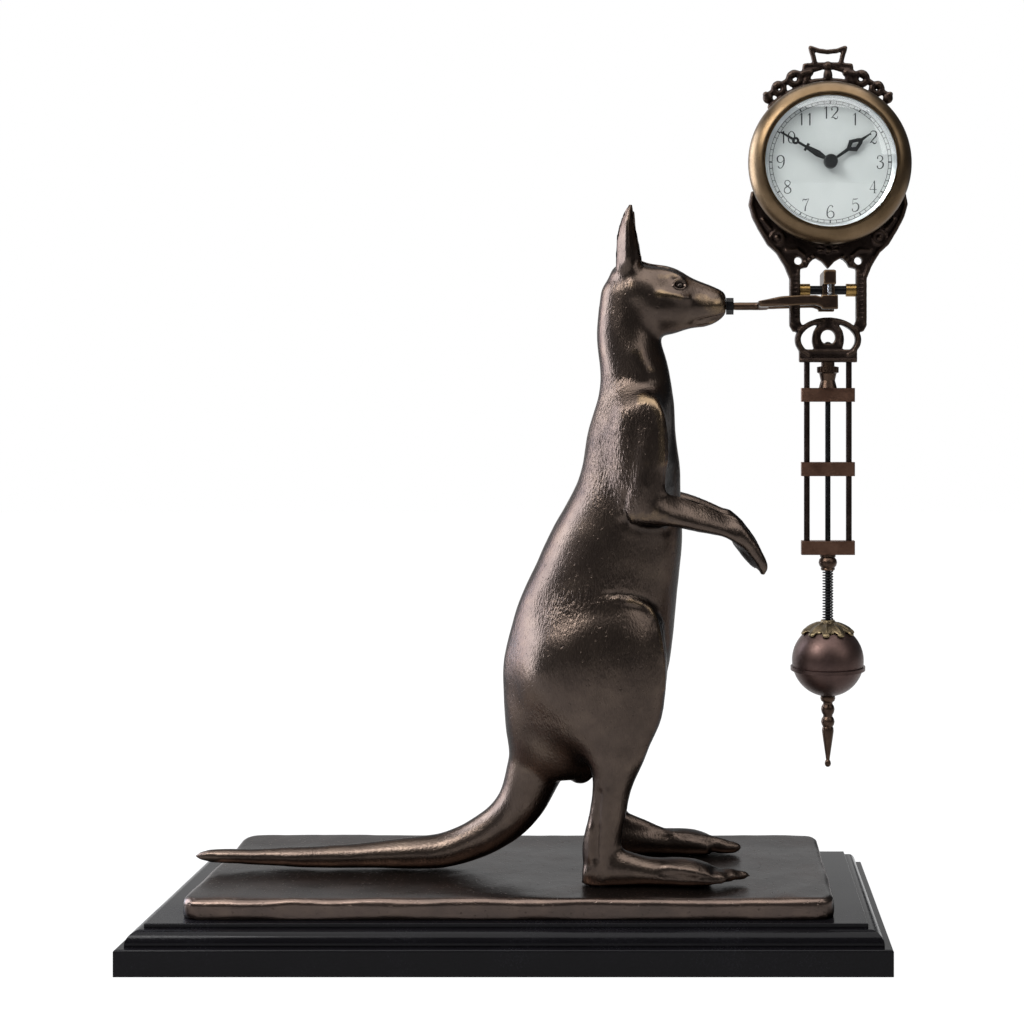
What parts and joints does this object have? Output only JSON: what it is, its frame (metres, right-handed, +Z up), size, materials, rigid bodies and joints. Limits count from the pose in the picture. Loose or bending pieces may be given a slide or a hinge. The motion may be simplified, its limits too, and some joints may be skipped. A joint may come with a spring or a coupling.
{
  "type": "mystery clock",
  "caption": "Table clock with a standing bronze kangaroo on a black wooden plinth, balancing on its nose a swinging round clock with a gridiron pendulum, ball bob and finial.",
  "frame": {"origin": "middle of the plinth's underside", "axes": "+X the way the figure looks and reaches, +Y away from the viewer of the dial, +Z up"},
  "size_m": [0.3027, 0.11, 0.3575],
  "materials": {
    "black_lacquered_wood": "black lacquer, soft gloss",
    "zinc_steel": "zinc plated",
    "patinated_bronze": "cast, dark brown patina rubbed to gold on the high places",
    "antique_brass": "turned, antique brown, satin",
    "blackened_steel": "oil blackened",
    "hardened_steel": "hardened and polished",
    "polished_brass": "machined brass",
    "darkened_casting": "cast, nearly black patina, worn edges",
    "clear_glass": "clear, domed",
    "printed_dial": "matt white with black print",
    "silvered_ring": "silvered, satin",
    "black_hands": "black, satin",
    "copper_brown": "copper brown patina, satin"
  },
  "bodies": {
    "stand": {"plinth_board": "black_lacquered_wood", "plinth_moulding": "black_lacquered_wood", "plinth_screws": "zinc_steel", "ground_plate": "patinated_bronze", "plate_bolts": "zinc_steel", "foot_studs": "zinc_steel", "foot_nuts": "zinc_steel", "figure_torso": "patinated_bronze", "figure_tail": "patinated_bronze", "right_leg": "patinated_bronze", "left_leg": "patinated_bronze", "right_arm": "patinated_bronze", "left_arm": "patinated_bronze", "support_fork": "antique_brass", "lock_nut": "blackened_steel", "bearing_cups": "hardened_steel"},
    "swinger": {"suspension_yoke": "antique_brass", "pivot_pins": "hardened_steel", "cross_shaft": "blackened_steel", "shaft_collars": "polished_brass", "clock_frame": "darkened_casting", "crest_ornament": "darkened_casting", "case_drum": "antique_brass", "back_cover": "antique_brass", "bezel": "antique_brass", "glass": "clear_glass", "dial": "printed_dial", "sight_ring": "silvered_ring", "front_plate": "polished_brass", "back_plate": "polished_brass", "plate_pillars": "polished_brass", "gridiron_rods": "darkened_casting", "centre_rod": "blackened_steel", "upper_crossbar": "copper_brown", "middle_crossbar": "copper_brown", "lower_crossbar": "copper_brown", "thumb_nut": "antique_brass", "ball_nut": "polished_brass", "bob_spring": "blackened_steel"},
    "minute_hand_group": {"centre_wheel": "polished_brass", "cannon_pinion": "hardened_steel", "minute_hand": "black_hands", "hand_cap": "black_hands", "setting_knob": "antique_brass"},
    "hour_hand_group": {"hour_wheel": "polished_brass", "hour_hand": "black_hands"},
    "motion_wheel": {"minute_wheel": "polished_brass"},
    "barrel": {"mainspring_barrel": "polished_brass", "mainspring": "hardened_steel"},
    "winder": {"winding_arbor": "hardened_steel", "winding_key": "antique_brass"},
    "third": {"third_wheel": "polished_brass"},
    "escape": {"escape_wheel": "polished_brass"},
    "impulse": {"anchor": "hardened_steel", "impulse_pendulum": "polished_brass"},
    "bob": {"leaf_cap": "antique_brass", "bob_upper_shell": "copper_brown", "bob_lower_shell": "copper_brown", "bob_weight": "polished_brass"},
    "finial": {"rating_finial": "antique_brass"}
  },
  "joints": [
    {"name": "clock_swing", "type": "hinge", "parent": "stand", "child": "swinger", "pos_m": [0.125, 0, 0.2556], "axis": [0, 1, 0], "range_deg": [-6, 6]},
    {"name": "minute_turn", "type": "hinge", "parent": "swinger", "child": "minute_hand_group", "pos_m": [0.125, 0, 0.3091], "axis": [0, 1, 0], "continuous": true},
    {"name": "hour_turn", "type": "hinge", "parent": "swinger", "child": "hour_hand_group", "pos_m": [0.125, 0, 0.3091], "axis": [0, 1, 0], "continuous": true},
    {"name": "motion_wheel_turn", "type": "hinge", "parent": "swinger", "child": "motion_wheel", "pos_m": [0.12291, 0, 0.32096], "axis": [0, 1, 0], "continuous": true},
    {"name": "barrel_turn", "type": "hinge", "parent": "swinger", "child": "barrel", "pos_m": [0.11706, 0, 0.30116], "axis": [0, 1, 0], "continuous": true},
    {"name": "third_turn", "type": "hinge", "parent": "swinger", "child": "third", "pos_m": [0.13449, 0, 0.31256], "axis": [0, 1, 0], "continuous": true},
    {"name": "escape_turn", "type": "hinge", "parent": "swinger", "child": "escape", "pos_m": [0.12856, 0, 0.31914], "axis": [0, 1, 0], "continuous": true},
    {"name": "impulse_rock", "type": "hinge", "parent": "swinger", "child": "impulse", "pos_m": [0.12957, 0, 0.32627], "axis": [0, 1, 0], "range_deg": [-3, 3]},
    {"name": "winding_turn", "type": "hinge", "parent": "swinger", "child": "winder", "pos_m": [0.11706, 0, 0.30116], "axis": [0, 1, 0], "continuous": true},
    {"name": "bob_slide", "type": "slide", "parent": "swinger", "child": "bob", "axis": [0, 0, 1], "range_m": [-0.003, 0.004], "deforming": ["bob_spring"]},
    {"name": "finial_turn", "type": "hinge", "parent": "bob", "child": "finial", "pos_m": [0.125, 0, 0.0947], "axis": [0, 0, 1], "range_deg": [-1355, 1805]}
  ],
  "couplings": [
    {"joint": "hour_turn", "follows": "minute_turn", "ratio": 0.083333},
    {"joint": "motion_wheel_turn", "follows": "minute_turn", "ratio": -0.33333},
    {"joint": "barrel_turn", "follows": "minute_turn", "ratio": -0.16667},
    {"joint": "third_turn", "follows": "minute_turn", "ratio": -8},
    {"joint": "escape_turn", "follows": "minute_turn", "ratio": 60},
    {"joint": "finial_turn", "follows": "bob_slide", "rad_per_m": 7854}
  ]
}
